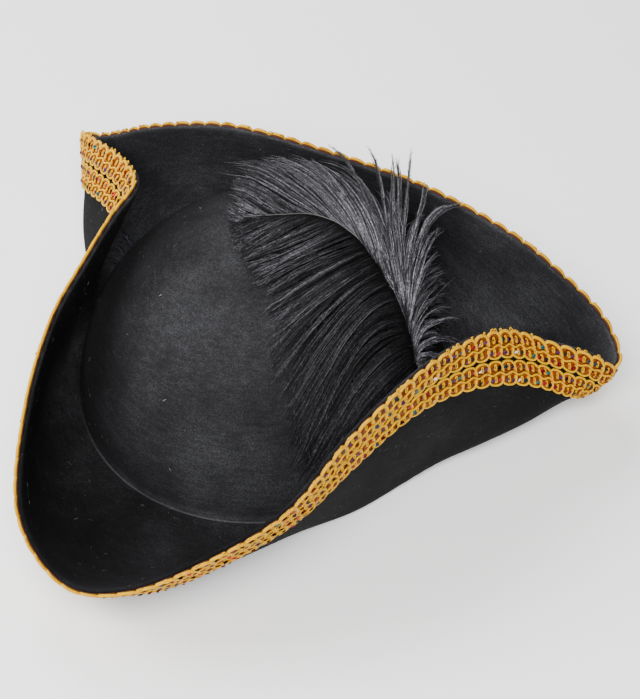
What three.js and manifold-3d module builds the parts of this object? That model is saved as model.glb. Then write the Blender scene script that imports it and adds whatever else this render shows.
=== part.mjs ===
// Tricorn hat: one piece of pressed felt with its brim turned up on three sides, two rows of scalloped
// braid along the outer face of the brim, and one ostrich plume tucked between crown and brim.
// Millimetres, +Z up. The front point looks along -Y, and the plume lies on the +X side.

import * as THREE from 'three';
import { mergeVertices } from 'three/addons/utils/BufferGeometryUtils.js';
import Module from 'manifold-3d';

const wasm = await Module();
wasm.setup();

// Crown: an oval dome, open below for the head
const crownWidth = 188;
const crownLength = 198;
const crownHeight = 98;
const crownFullness = 2.2;
const feltWall = 2;

// Brim: a flat ring round the foot of the crown, then a fold that turns the felt up to the rim
const gutterWidth = 4;
const brimReach = 100;
const flapHeight = 90;
const foldTightness = 0.82;

// Braid: rows of gimp with scalloped edges, sewn on from the rim downwards
const braidRows = 2;
const braidWidth = 16.8;
const braidThickness = 1.2;
const braidClearance = 0.45;
const braidOverRim = 1;
const scallopPitch = 10.5;
const scallopDepth = 1.5;

// Plume: a quill with a flat vane of locks on each side
const quillRadius = 1.6;
const vaneHalfWidth = 11;
const vaneHalfThickness = 1.8;
const lockHalfWidth = 8.5;
const lockHalfThickness = 1.1;
const plumeClearance = 0.7;
const bareQuillShare = 0.16;
const tipWidthShare = 0.2;
const tipThicknessShare = 0.5;

// Fineness of the faceted solids
const stepsPerSection = 2;
const crownRings = 8;
const liningRings = 6;
const foldRings = 7;
const stepsPerScallop = 3;
const vaneSteps = 16;
const lockSteps = 5;
const closestStep = 0.15;
const rimDivisions = 1200;

// The brim, section by section round the hat. Angles are degrees from +X, counted anticlockwise: where
// the section leaves the crown, where its fold lies and where its rim lies. Fold out and rim out are
// shares of brimReach beyond the crown's foot, fold up and rim up are shares of flapHeight.
const brimSections = [
  // base at, fold at, fold out, fold up, rim at, rim out, rim up
  [-90, -90, 0.57, 0, -89.5, 0.80, 0.38], // front point
  [-76, -77, 0.42, 0, -80, 0.77, 0.45],
  [-63, -65, 0.23, 0, -69.5, 0.63, 0.59],
  [-48, -49, 0.06, 0, -55.5, 0.46, 0.77],
  [-34, -33, 0.04, 0, -41.5, 0.26, 0.98], // flap beside the plume
  [-20, -19, 0.05, 0, -23.5, 0.16, 1.09],
  [-6, -5, 0.17, 0, -7, 0.15, 1.05],
  [6, 5, 0.39, 0, 7.5, 0.24, 0.93],
  [14, 14, 0.60, 0, 16.5, 0.39, 0.73],
  [19, 20, 0.69, 0.04, 20, 0.69, 0.56],
  [24, 23.5, 0.77, 0.06, 22.5, 0.81, 0.40], // back point on the plume's side
  [29, 27.5, 0.74, 0.04, 26, 0.80, 0.43],
  [35, 34, 0.63, 0, 30, 0.68, 0.58],
  [45, 43, 0.40, 0, 40, 0.34, 0.82],
  [58, 58, 0.24, 0, 56, 0.00, 0.96],
  [76, 76, 0.17, 0, 76, -0.18, 0.99],
  [96, 96, 0.15, 0, 97, -0.22, 0.99], // back flap
  [115, 115, 0.16, 0, 117, -0.15, 0.99],
  [130, 130, 0.23, 0, 134, 0.01, 0.96],
  [142, 143, 0.44, 0, 148, 0.28, 0.81],
  [149, 151.5, 0.65, 0.04, 153, 0.56, 0.58],
  [155, 156, 0.74, 0.06, 155, 0.71, 0.48], // back point on the tacked side
  [160, 160, 0.62, 0.04, 157.2, 0.61, 0.63],
  [165.5, 168.5, 0.50, 0, 159.5, 0.34, 0.79],
  [173, 175, 0.34, 0, 163, 0.03, 0.92],
  [182, 182, 0.16, 0, 172, -0.18, 1.00],
  [198, 198, 0.13, 0, 192, -0.21, 1.02], // flap tacked to the crown
  [214, 214, 0.20, 0, 213.5, -0.13, 0.97],
  [230, 229, 0.30, 0, 231, 0.06, 0.90],
  [244, 244, 0.42, 0, 248, 0.36, 0.78],
  [257, 257, 0.51, 0, 260.5, 0.70, 0.58],
];

// The quill over the crown, from its tucked end to its tip: the direction from the middle of the crown's
// foot, as degrees round and degrees up, and how far the quill floats over its closest seat.
const quillRoute = [
  // round, up, float
  [0, 12, 0],
  [4, 26, 1],
  [12, 41, 4],
  [22, 52, 5],
  [36, 63, 6],
  [62, 71, 6],
  [104, 77, 5],
  [148, 76, 3],
];

// Locks of barbs: where each leaves the quill as a share of its length, and the direction and float of
// its tip.
const frontLocks = [
  // from, round, up, float
  [0.20, -16, 13, 0.2],
  [0.28, -31, 14, 0.2],
  [0.36, -43, 19, 0.2],
  [0.44, -46, 30, 0.2],
  [0.52, -46, 41, 0.3],
  [0.60, -48, 52, 0.4],
  [0.69, -54, 63, 0.6],
  [0.78, -72, 75, 0.8],
  [0.88, -150, 82, 1],
];
const backLocks = [
  [0.24, 20, 20, 4],
  [0.33, 34, 25, 7],
  [0.42, 47, 31, 10],
  [0.51, 60, 38, 13],
  [0.60, 74, 44, 15],
  [0.69, 92, 49, 15],
  [0.79, 114, 54, 13],
  [0.90, 138, 59, 8],
];

const felt = new THREE.MeshStandardMaterial({ color: 0x101012, roughness: 0.95, metalness: 0 });
const goldBraid = new THREE.MeshStandardMaterial({ color: 0xe0a51c, roughness: 0.55, metalness: 0.15 });
const feather = new THREE.MeshStandardMaterial({ color: 0x1a1a1c, roughness: 0.8, metalness: 0 });

const up = new THREE.Vector3(0, 0, 1);

// Radius of the crown's foot, an ellipse, in the direction of the angle
function footRadius(angle) {
  const halfWidth = crownWidth / 2;
  const halfLength = crownLength / 2;
  return (halfWidth * halfLength)
    / Math.hypot(halfLength * Math.cos(angle), halfWidth * Math.sin(angle));
}

function polar(radius, angle, height) {
  return new THREE.Vector3(radius * Math.cos(angle), radius * Math.sin(angle), height);
}

// One column of a dome from its foot (turn 0) towards its top (turn 1)
function domePoint(angle, turn, wallInside, footHeight) {
  const bend = 2 / crownFullness;
  const climb = turn * Math.PI / 2;
  const radius = (footRadius(angle) - wallInside) * Math.cos(climb) ** bend;
  const rise = (crownHeight - feltWall) * Math.sin(climb) ** bend;
  return polar(radius, angle, footHeight + rise);
}

function closedSpline(points) {
  const spline = new THREE.CatmullRomCurve3(points, true, 'catmullrom');
  spline.arcLengthDivisions = rimDivisions;
  return spline;
}

function brimPoint(degrees, out, share) {
  const angle = THREE.MathUtils.degToRad(degrees);
  return polar(footRadius(angle) + gutterWidth + out * brimReach, angle, feltWall + share * flapHeight);
}

const baseLine = closedSpline(brimSections.map(([baseAt]) => brimPoint(baseAt, 0, 0)));
const foldLine = closedSpline(brimSections.map(
  ([, foldAt, foldOut, foldUp]) => brimPoint(foldAt, foldOut, foldUp),
));
const rimLine = closedSpline(brimSections.map(
  ([, , , , rimAt, rimOut, rimUp]) => brimPoint(rimAt, rimOut, rimUp),
));

function baseAngle(t) {
  const point = baseLine.getPoint(t);
  return Math.atan2(point.y, point.x);
}

// One section of the brim's upper side, from the gutter's outer edge up to the rim
function brimSection(t) {
  const angle = baseAngle(t);
  const foot = polar(footRadius(angle) + gutterWidth, angle, feltWall);
  const fold = foldLine.getPoint(t);
  const rim = rimLine.getPoint(t);
  return new THREE.CubicBezierCurve3(
    foot,
    foot.clone().lerp(fold, foldTightness),
    rim.clone().lerp(fold, foldTightness),
    rim,
  );
}

const columnCount = brimSections.length * stepsPerSection;
const columnPlaces = Array.from({ length: columnCount }, (_, i) => i / columnCount);
const rowPitch = braidWidth + braidClearance;

// Depth below the rim of the rings of the felt that bound the rows of braid
const rowEnds = Array.from({ length: braidRows }, (_, k) => (k + 1) * rowPitch - braidOverRim);
const bandDepths = [0, ...rowEnds];
const braidDepth = bandDepths[braidRows];

// The upper side's columns, each listed from the rim down to the gutter's outer edge
const upperSide = columnPlaces.map((t) => {
  const section = brimSection(t);
  const length = section.getLength();
  const band = bandDepths.map((depth) => section.getPointAt(1 - depth / length));
  const belowBand = 1 - braidDepth / length;
  const fold = Array.from(
    { length: foldRings },
    (_, k) => section.getPointAt(belowBand * (1 - (k + 1) / foldRings)),
  );
  return [...band, ...fold];
});

// Direction out of the upper side at each of its points. It is upright at the foot, so that the hat
// stands on a flat ring.
const upperNormals = upperSide.map((column, i) => {
  const before = upperSide[(i + columnCount - 1) % columnCount];
  const after = upperSide[(i + 1) % columnCount];
  return column.map((point, k) => {
    if (k === column.length - 1) return up.clone();
    const along = after[k].clone().sub(before[k]);
    const down = column[k + 1].clone().sub(column[Math.max(k - 1, 0)]);
    return down.cross(along).negate().normalize();
  });
});

const underSide = upperSide.map((column, i) => column.map(
  (point, k) => point.clone().addScaledVector(upperNormals[i][k], -feltWall),
));

// Two triangles for a four-sided patch, split along its shorter diagonal. A patch behind the braid is
// split along the diagonal that lies deeper, so that the braid lies clear of it.
function quad(vertices, corners, behindBraid) {
  const [a, b, c, d] = corners.map((corner) => vertices[corner]);
  const oneWay = c.clone().sub(a);
  const otherWay = d.clone().sub(b);
  const outward = oneWay.clone().cross(otherWay);
  const lift = a.clone().add(c).sub(b).sub(d).dot(outward);
  const firstWay = behindBraid ? lift < 0 : oneWay.length() < otherWay.length();
  const [i, j, k, l] = corners;
  return firstWay ? [i, j, k, i, k, l] : [i, j, l, j, k, l];
}

// A closed skin over columns that run round the Z axis, drawn together in one point at each end
function loft(columns, firstPole, lastPole, isBehindBraid) {
  const count = columns.length;
  const rings = columns[0].length;
  const vertices = [...columns.flat(), firstPole, lastPole];
  const first = count * rings;
  const last = first + 1;
  const triangles = [];
  for (let i = 0; i < count; i += 1) {
    const here = i * rings;
    const next = ((i + 1) % count) * rings;
    triangles.push(first, here, next);
    for (let k = 0; k < rings - 1; k += 1) {
      const corners = [here + k, here + k + 1, next + k + 1, next + k];
      triangles.push(...quad(vertices, corners, isBehindBraid(k)));
    }
    triangles.push(last, next + rings - 1, here + rings - 1);
  }
  return skin(vertices, triangles);
}

function skin(vertices, triangles) {
  const geometry = new THREE.BufferGeometry();
  geometry.setFromPoints(vertices);
  geometry.setIndex(triangles);
  geometry.computeVertexNormals();
  return geometry;
}

// The felt: over the crown, out over the brim to the rim, back under the brim and up inside the crown
function makeFeltBody() {
  const columns = columnPlaces.map((t, i) => {
    const angle = baseAngle(t);
    const outside = [];
    for (let k = crownRings - 1; k >= 0; k -= 1) {
      outside.push(domePoint(angle, k / crownRings, 0, feltWall));
    }
    const inside = [];
    for (let k = 0; k < liningRings; k += 1) {
      inside.push(domePoint(angle, k / liningRings, feltWall, 0));
    }
    return [...outside, ...[...upperSide[i]].reverse(), ...underSide[i], ...inside];
  });
  const underRim = crownRings + upperSide[0].length;
  return loft(
    columns,
    new THREE.Vector3(0, 0, crownHeight),
    new THREE.Vector3(0, 0, crownHeight - feltWall),
    (ring) => ring >= underRim && ring < underRim + braidRows,
  );
}

// Share of the rim's length that lies before a place on it
const rimLengths = rimLine.getLengths(rimDivisions);

function rimShare(t) {
  const at = t * rimDivisions;
  const before = Math.min(Math.floor(at), rimDivisions - 1);
  const length = THREE.MathUtils.lerp(rimLengths[before], rimLengths[before + 1], at - before);
  return length / rimLengths[rimDivisions];
}

const scallopCount = Math.round(rimLengths[rimDivisions] / scallopPitch);

// How deep the braid's edge dips between two scallops, 0 along a crest and 1 in a notch
function scallopDip(t) {
  const swing = Math.abs(Math.sin(Math.PI * scallopCount * rimShare(t)));
  return 1 - Math.sqrt(swing);
}

// A point on the felt's outer face behind a row of braid, at a place round the rim and a depth below it
function onOuterFace(t, row, depth) {
  const at = t * columnCount;
  const near = Math.floor(at);
  const faces = [near % columnCount, (near + 1) % columnCount].map((i) => {
    const share = (depth - bandDepths[row]) / (bandDepths[row + 1] - bandDepths[row]);
    return {
      point: underSide[i][row].clone().lerp(underSide[i][row + 1], share),
      outward: upperNormals[i][row].clone().lerp(upperNormals[i][row + 1], share).negate(),
    };
  });
  const share = at - near;
  return {
    point: faces[0].point.lerp(faces[1].point, share),
    outward: faces[0].outward.lerp(faces[1].outward, share).normalize(),
  };
}

// Places round the rim where the braid has a section: every felt column, so that the braid turns where
// the felt turns, and the notch and shoulders of every scallop that don't lie close to a column
function braidPlaces() {
  const places = [...columnPlaces];
  const total = scallopCount * stepsPerScallop;
  const closest = closestStep / total;
  for (let j = 0; j < total; j += 1) {
    const place = rimLine.getUtoTmapping(j / total);
    if (columnPlaces.every((column) => Math.abs(column - place) > closest)) places.push(place);
  }
  return places.sort((a, b) => a - b);
}

const cornerCount = 4;

// The sides of a strip of four-cornered sections, which a ring also has between its last and first one
function stripSides(sectionCount, isRing) {
  const spanCount = isRing ? sectionCount : sectionCount - 1;
  const triangles = [];
  for (let i = 0; i < spanCount; i += 1) {
    const here = i * cornerCount;
    const next = ((i + 1) % sectionCount) * cornerCount;
    for (let k = 0; k < cornerCount; k += 1) {
      const turn = (k + 1) % cornerCount;
      triangles.push(here + k, next + turn, here + turn);
      triangles.push(here + k, next + k, next + turn);
    }
  }
  return triangles;
}

// One row of braid, a strip that follows the rim all the way round
function makeBraid(row) {
  const top = row * rowPitch - braidOverRim;
  const sections = braidPlaces().map((t) => {
    const dip = scallopDepth * scallopDip(t);
    const edges = [top + dip, top + braidWidth - dip];
    const [upper, lower] = edges.map((depth) => {
      const { point, outward } = onOuterFace(t, row, depth);
      return [braidClearance, braidClearance + braidThickness].map(
        (distance) => point.clone().addScaledVector(outward, distance),
      );
    });
    return [upper[0], lower[0], lower[1], upper[1]];
  });
  return skin(sections.flat(), stripSides(sections.length, true));
}

// A point over the crown in the direction given, at a height above its surface
function overCrown(direction, height) {
  const flat = Math.hypot(direction.x / (crownWidth / 2), direction.y / (crownLength / 2));
  const tall = direction.z / crownHeight;
  const reach = (flat ** crownFullness + tall ** crownFullness) ** (-1 / crownFullness);
  const outward = direction.clone().normalize();
  return direction.clone().multiplyScalar(reach).addScaledVector(outward, height);
}

function heading(round, climb) {
  const angle = THREE.MathUtils.degToRad(round);
  const slope = THREE.MathUtils.degToRad(climb);
  return polar(Math.cos(slope), angle, Math.sin(slope));
}

// A flat tapering strip through the points, lying along the crown, closed to a solid
function strip(points, halfWidths, halfThicknesses) {
  const last = points.length - 1;
  const vertices = [];
  points.forEach((point, i) => {
    const forward = points[Math.min(i + 1, last)].clone().sub(points[Math.max(i - 1, 0)]);
    const side = forward.cross(point).normalize().multiplyScalar(halfWidths[i]);
    const lift = point.clone().normalize().multiplyScalar(halfThicknesses[i]);
    vertices.push(
      point.clone().add(side),
      point.clone().add(lift),
      point.clone().sub(side),
      point.clone().sub(lift),
    );
  });
  const startCap = [0, 1, 2, 0, 2, 3];
  const endCap = startCap.map((corner) => last * cornerCount + corner).reverse();
  return toSolid(skin(vertices, [...startCap, ...stripSides(points.length, false), ...endCap]));
}

function toSolid(geometry) {
  geometry.deleteAttribute('normal');
  const merged = mergeVertices(geometry);
  return new wasm.Manifold(new wasm.Mesh({
    numProp: 3,
    vertProperties: new Float32Array(merged.attributes.position.array),
    triVerts: new Uint32Array(merged.index.array),
  }));
}

function toGeometry(solid) {
  const mesh = solid.getMesh();
  const geometry = new THREE.BufferGeometry();
  geometry.setAttribute('position', new THREE.BufferAttribute(mesh.vertProperties, 3));
  geometry.setIndex(new THREE.BufferAttribute(mesh.triVerts, 1));
  geometry.computeVertexNormals();
  return geometry;
}

const quillSeat = plumeClearance + vaneHalfThickness;
const quillLine = new THREE.CatmullRomCurve3(
  quillRoute.map(([round, climb, float]) => overCrown(heading(round, climb), quillSeat + float)),
);

// Share of the full width that is left along a vane or lock, which narrows late and ends blunt
function roundedTaper(share, lateness) {
  return Math.sqrt(1 + tipWidthShare ** 2 - share ** lateness);
}

// The middle of the vane, from a bare round quill at the tucked end to a rounded tip
function makeVane() {
  const points = quillLine.getSpacedPoints(vaneSteps);
  const shares = points.map((_, i) => i / (points.length - 1));
  const spread = shares.map(
    (share) => THREE.MathUtils.smoothstep(share, bareQuillShare, 2 * bareQuillShare),
  );
  const taper = shares.map((share) => roundedTaper(share, 4));
  const widths = spread.map((s, i) => THREE.MathUtils.lerp(quillRadius, vaneHalfWidth, s) * taper[i]);
  const depths = spread.map((s) => THREE.MathUtils.lerp(quillRadius, vaneHalfThickness, s));
  return strip(points, widths, depths);
}

// One lock of barbs, from the quill over the crown to a thin tip
function makeLock([from, round, climb, float]) {
  const root = quillLine.getPointAt(from);
  const tip = heading(round, climb);
  const rootHeight = root.length() - overCrown(root, 0).length();
  const tipHeight = plumeClearance + lockHalfThickness + float;
  const shares = Array.from({ length: lockSteps + 1 }, (_, i) => i / lockSteps);
  const points = shares.map((share) => {
    const direction = root.clone().normalize().lerp(tip, share).normalize();
    return overCrown(direction, THREE.MathUtils.lerp(rootHeight, tipHeight, share));
  });
  const widths = shares.map((share) => lockHalfWidth * roundedTaper(share, 2));
  const depths = shares.map(
    (share) => lockHalfThickness * THREE.MathUtils.lerp(1, tipThicknessShare, share),
  );
  return strip(points, widths, depths);
}

function makePlume() {
  const locks = [...frontLocks, ...backLocks].map(makeLock);
  return toGeometry(locks.reduce((plume, lock) => plume.add(lock), makeVane()));
}

const hat = new THREE.Group();

function place(name, geometry, material) {
  const mesh = new THREE.Mesh(geometry, material);
  mesh.name = name;
  hat.add(mesh);
}

place('felt_body', makeFeltBody(), felt);
place('braid_upper', makeBraid(0), goldBraid);
place('braid_lower', makeBraid(1), goldBraid.clone());
place('plume', makePlume(), feather);

// The origin is the middle of the hat's box on the surface that it stands on
const bounds = new THREE.Box3().setFromObject(hat);
const middle = bounds.getCenter(new THREE.Vector3());
hat.position.set(-middle.x, -middle.y, -bounds.min.z);

export default hat;
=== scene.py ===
import math
import bpy
import numpy as np
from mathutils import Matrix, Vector


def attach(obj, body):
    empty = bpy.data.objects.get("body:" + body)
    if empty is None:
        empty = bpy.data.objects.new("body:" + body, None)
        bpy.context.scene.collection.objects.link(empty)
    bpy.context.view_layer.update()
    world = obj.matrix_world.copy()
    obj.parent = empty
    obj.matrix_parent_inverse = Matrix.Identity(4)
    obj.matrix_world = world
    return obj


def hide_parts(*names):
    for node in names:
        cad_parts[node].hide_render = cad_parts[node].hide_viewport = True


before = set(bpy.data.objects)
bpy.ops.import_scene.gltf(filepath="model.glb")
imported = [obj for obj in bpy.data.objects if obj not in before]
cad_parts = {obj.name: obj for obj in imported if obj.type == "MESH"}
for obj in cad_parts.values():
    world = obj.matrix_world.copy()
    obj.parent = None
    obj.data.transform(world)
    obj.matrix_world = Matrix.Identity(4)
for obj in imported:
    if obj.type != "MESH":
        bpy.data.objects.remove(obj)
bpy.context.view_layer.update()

# Looks of a black felt tricorn hat: the felt, two rows of gimp braid with sequins, and an ostrich plume.
# Lengths are in millimetres until a mesh is made, and angles in the tables are in degrees.
MM = 0.001
RANDOM_SEED = 7

# Sizes of the felt body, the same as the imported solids'
CROWN_WIDTH, CROWN_LENGTH, CROWN_HEIGHT = 188, 198, 98
CROWN_FULLNESS = 2.2
FELT_WALL = 2
GUTTER_WIDTH = 4
BRIM_REACH = 100
FLAP_HEIGHT = 90
FOLD_TIGHTNESS = 0.82

# The thin welt round the crown's foot, and its section from the crown outwards as shares of its width and
# height
WELT_WIDTH, WELT_HEIGHT = 0.9, 0.45
WELT_SECTION = [(0.15, 0.2), (0.4, 0.8), (0.65, 1), (0.9, 0.8), (1.15, 0)]

# The braid: rows of scallops from the rim downwards, how much further the loops along the rim reach, and
# how far each of its layers lies off the felt
BRAID_ROWS = ["upper", "lower"]
BRAID_WIDTH = 16.8
ROW_PITCH = 17.25
BRAID_OVER_RIM = 1
RIM_RISE = 1.3
SCALLOP_PITCH = 9.2
GROUND_HEIGHT = 0.45
THREAD_HEIGHT = 0.85
SEQUIN_HEIGHT = 1.55

# Section by section round the brim: where it leaves the crown, where its fold and rim lie as degrees from
# +X, how far out as a share of BRIM_REACH and how high as a share of FLAP_HEIGHT
BRIM_SECTIONS = [
    # base at, fold at, fold out, fold up, rim at, rim out, rim up
    (-90, -90, 0.57, 0, -89.5, 0.80, 0.38),
    (-76, -77, 0.42, 0, -80, 0.77, 0.45),
    (-63, -65, 0.23, 0, -69.5, 0.63, 0.59),
    (-48, -49, 0.06, 0, -55.5, 0.46, 0.77),
    (-34, -33, 0.04, 0, -41.5, 0.26, 0.98),
    (-20, -19, 0.05, 0, -23.5, 0.16, 1.09),
    (-6, -5, 0.17, 0, -7, 0.15, 1.05),
    (6, 5, 0.39, 0, 7.5, 0.24, 0.93),
    (14, 14, 0.60, 0, 16.5, 0.39, 0.73),
    (19, 20, 0.69, 0.04, 20, 0.69, 0.56),
    (24, 23.5, 0.77, 0.06, 22.5, 0.81, 0.40),
    (29, 27.5, 0.74, 0.04, 26, 0.80, 0.43),
    (35, 34, 0.63, 0, 30, 0.68, 0.58),
    (45, 43, 0.40, 0, 40, 0.34, 0.82),
    (58, 58, 0.24, 0, 56, 0.00, 0.96),
    (76, 76, 0.17, 0, 76, -0.18, 0.99),
    (96, 96, 0.15, 0, 97, -0.22, 0.99),
    (115, 115, 0.16, 0, 117, -0.15, 0.99),
    (130, 130, 0.23, 0, 134, 0.01, 0.96),
    (142, 143, 0.44, 0, 148, 0.28, 0.81),
    (149, 151.5, 0.65, 0.04, 153, 0.56, 0.58),
    (155, 156, 0.74, 0.06, 155, 0.71, 0.48),
    (160, 160, 0.62, 0.04, 157.2, 0.61, 0.63),
    (165.5, 168.5, 0.50, 0, 159.5, 0.34, 0.79),
    (173, 175, 0.34, 0, 163, 0.03, 0.92),
    (182, 182, 0.16, 0, 172, -0.18, 1.00),
    (198, 198, 0.13, 0, 192, -0.21, 1.02),
    (214, 214, 0.20, 0, 213.5, -0.13, 0.97),
    (230, 229, 0.30, 0, 231, 0.06, 0.90),
    (244, 244, 0.42, 0, 248, 0.36, 0.78),
    (257, 257, 0.51, 0, 260.5, 0.70, 0.58),
]

# Soft creases pressed into the brim's inner face: from and to as shares of the way round the brim and of
# the way down from its rim
CREASES = [
    # from round, from down, to round, to down, depth, width
    (0.605, 0.37, 0.589, 0.67, 1.0, 3.2),
    (0.444, 0.85, 0.391, 0.23, 0.6, 2.6),
]

# Loose tacking threads in the trough by the flap that is sewn to the crown: shares of the way round the
# brim and of the way down from its rim
TACKS = [
    # from round, from down, to round, to down
    (0.686, 0.64, 0.692, 0.74),
    (0.690, 0.66, 0.690, 0.80),
    (0.697, 0.68, 0.701, 0.79),
    (0.704, 0.71, 0.699, 0.80),
    (0.712, 0.72, 0.716, 0.81),
    (0.719, 0.74, 0.714, 0.83),
    (0.727, 0.77, 0.731, 0.85),
    (0.737, 0.80, 0.733, 0.87),
]

# The quill over the crown, from its tucked end to its tip: the direction from the middle of the crown's
# foot, and the height over the crown
QUILL_ROUTE = [
    # round, up, height
    (0, 12, 3),
    (2, 22, 4),
    (5, 37, 6.5),
    (9, 42, 7.5),
    (15, 47, 8.5),
    (18, 52, 9),
    (23, 57, 9.5),
    (34, 62, 9.5),
    (43, 66, 9.5),
    (51, 69, 9.5),
    (64, 74, 9),
    (85, 80, 8),
    (150, 81, 7),
]

# The way of the barbs: the share of the quill's length at a barb's root, then the direction and the
# height over the crown of its middle and of its tip
FRONT_VANE = [
    # from, middle round, up, height, tip round, up, height
    (0.13, -10, 24, 3, -26, 15, 2),
    (0.21, -18, 31, 4, -35, 21, 2),
    (0.27, -21, 39, 6, -44, 20, 2),
    (0.34, -18, 48, 7, -47, 25, 2),
    (0.41, -14, 53, 8, -47, 34, 2),
    (0.46, -14, 56, 8, -49, 41, 2),
    (0.50, -15, 60, 8, -50, 47, 2.5),
    (0.54, -15, 64, 8.5, -53, 57, 2.5),
    (0.58, -9, 69, 8.5, -56, 67, 2.5),
    (0.62, -1, 74, 8.5, -61, 73, 2.5),
    (0.68, 6, 78, 8, -69, 78, 3),
    (0.73, 27, 81, 7, -87, 82, 3),
    (0.80, 69, 84, 6, -123, 84, 3),
    (0.89, 126, 84, 5, -170, 82, 3.5),
    (1.00, 157, 79, 5, 163, 78, 4),
]
BACK_VANE = [
    (0.14, 4, 26, 8, 10, 22, 11),
    (0.21, 6, 34, 13, 14, 27, 15),
    (0.24, 10, 37, 13, 19, 29, 17),
    (0.27, 15, 41, 15, 27, 32, 18),
    (0.31, 18, 45, 18, 33, 37, 21),
    (0.33, 20, 48, 21, 38, 42, 23),
    (0.35, 23, 52, 23, 43, 47, 23),
    (0.38, 26, 55, 24, 52, 49, 24),
    (0.41, 26, 57, 25, 60, 52, 23),
    (0.43, 29, 58, 24, 66, 55, 19),
    (0.46, 35, 60, 22, 78, 55, 18),
    (0.50, 42, 61, 22, 89, 55, 19),
    (0.54, 49, 63, 21, 97, 55, 19),
    (0.58, 57, 65, 19, 105, 55, 19),
    (0.62, 68, 66, 17, 114, 56, 18),
    (0.67, 83, 69, 15, 125, 55, 19),
    (0.73, 97, 71, 14, 130, 57, 16),
    (0.80, 107, 74, 12, 135, 62, 12),
    (0.89, 123, 78, 10, 142, 68, 8),
    (1.00, 158, 80, 7, 156, 75, 5),
]
WISPS = [
    (0.52, 52, 61, 21, 94, 51, 27),
    (0.47, 43, 59, 23, 81, 49, 33),
    (0.44, 36, 58, 25, 72, 49, 37),
    (0.42, 34, 57, 26, 69, 49, 36),
    (0.41, 34, 56, 27, 69, 47, 42),
    (0.40, 27, 54, 28, 58, 46, 36),
    (0.39, 32, 52, 28, 51, 42, 36),
    (0.38, 34, 51, 29, 49, 41, 41),
    (0.36, 27, 50, 27, 44, 43, 29),
]

# The photograph's view: degrees round from the front point and above the floor, the camera's distance
# from the point that it looks at, and that point from the middle of the crown's foot
VIEW_ROUND, VIEW_UP = 30, 47
VIEW_DISTANCE = 1200
VIEW_SIDEWAYS, VIEW_UPWARDS, VIEW_HEIGHT = 29.7, -4.7, 30
IMAGE_HEIGHT = 699
FOCAL_PIXELS = 2315
SENSOR = 36

# The floor, the glow of it and of the world, and square soft boxes that look at the hat, in metres and
# watts, placed as the camera is
FLOOR_SIZE = 12
FLOOR_GLOW = 0.3
WORLD_GLOW = 0.13
LIGHT_DISTANCE, LIGHT_SIZE = 1.6, 0.8
LIGHTS = [
    # name, round, up, power
    ("front_light", 25, 55, 41),
    ("left_light", -66, 42, 27),
    ("back_light", 235, 50, 16),
]


def crown_middle():
    """The crown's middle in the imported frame, from the felt body's vertex at the very top of its crown."""
    points = np.array([v.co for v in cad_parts["felt_body"].data.vertices]) / MM
    top = points[np.argmin(np.abs(points[:, 2] - CROWN_HEIGHT))]
    return top * (1, 1, 0)


MIDDLE = crown_middle()


# Shapes of the crown and brim

def polar(radius, angle, height):
    return np.stack([radius * np.cos(angle), radius * np.sin(angle), height + 0 * radius], -1)


def foot_radius(angle):
    half_width, half_length = CROWN_WIDTH / 2, CROWN_LENGTH / 2
    return half_width * half_length / np.hypot(half_length * np.cos(angle), half_width * np.sin(angle))


def spline_part(a, b, c, d, w):
    """Points of a uniform Catmull-Rom spline on its way from b, where w is 0, to c, where it is 1."""
    return 0.5 * (2 * b + (c - a) * w + (2 * a - 5 * b + 4 * c - d) * w ** 2
                  + (3 * b - a - 3 * c + d) * w ** 3)


def closed_spline(points, places):
    """Points of a closed spline at places from 0 to 1."""
    at = (places % 1) * len(points)
    first = np.floor(at).astype(int)
    a, b, c, d = (points[(first + k) % len(points)] for k in (-1, 0, 1, 2))
    return spline_part(a, b, c, d, (at - first)[:, None])


def open_spline(points, shares):
    """Points of an open spline at shares of its length."""
    ends = np.vstack([2 * points[0] - points[1], points, 2 * points[-1] - points[-2]])
    at = np.linspace(0, len(points) - 1 - 1e-9, 400)
    first = np.floor(at).astype(int)
    a, b, c, d = (ends[first + k] for k in range(4))
    fine = spline_part(a, b, c, d, (at - first)[:, None])
    length = along(fine)
    return np.stack([np.interp(shares * length[-1], length, fine[:, axis]) for axis in range(3)], -1)


def brim_points(degrees, out, share):
    angle = np.radians(degrees)
    return polar(foot_radius(angle) + GUTTER_WIDTH + out * BRIM_REACH, angle, FELT_WALL + share * FLAP_HEIGHT)


def unit(vectors):
    return vectors / np.linalg.norm(vectors, axis=-1, keepdims=True)


def along(points):
    """Distance along each row of points from its first point."""
    steps = np.linalg.norm(np.diff(points, axis=-2), axis=-1)
    return np.concatenate([np.zeros(steps.shape[:-1] + (1,)), np.cumsum(steps, -1)], -1)


COLUMNS_A_SECTION = 12
COLUMNS = COLUMNS_A_SECTION * len(BRIM_SECTIONS)
BRIM_RINGS = 45
SECTION_STEPS = 96
PLACES = np.arange(COLUMNS) / COLUMNS
TABLE = np.array(BRIM_SECTIONS, float).T
BASE_TABLE = brim_points(TABLE[0], 0 * TABLE[0], 0 * TABLE[0])
BASE_ANGLES = np.arctan2(*closed_spline(BASE_TABLE, PLACES).T[[1, 0]])
RIM_TABLE = brim_points(*TABLE[4:7])


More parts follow.
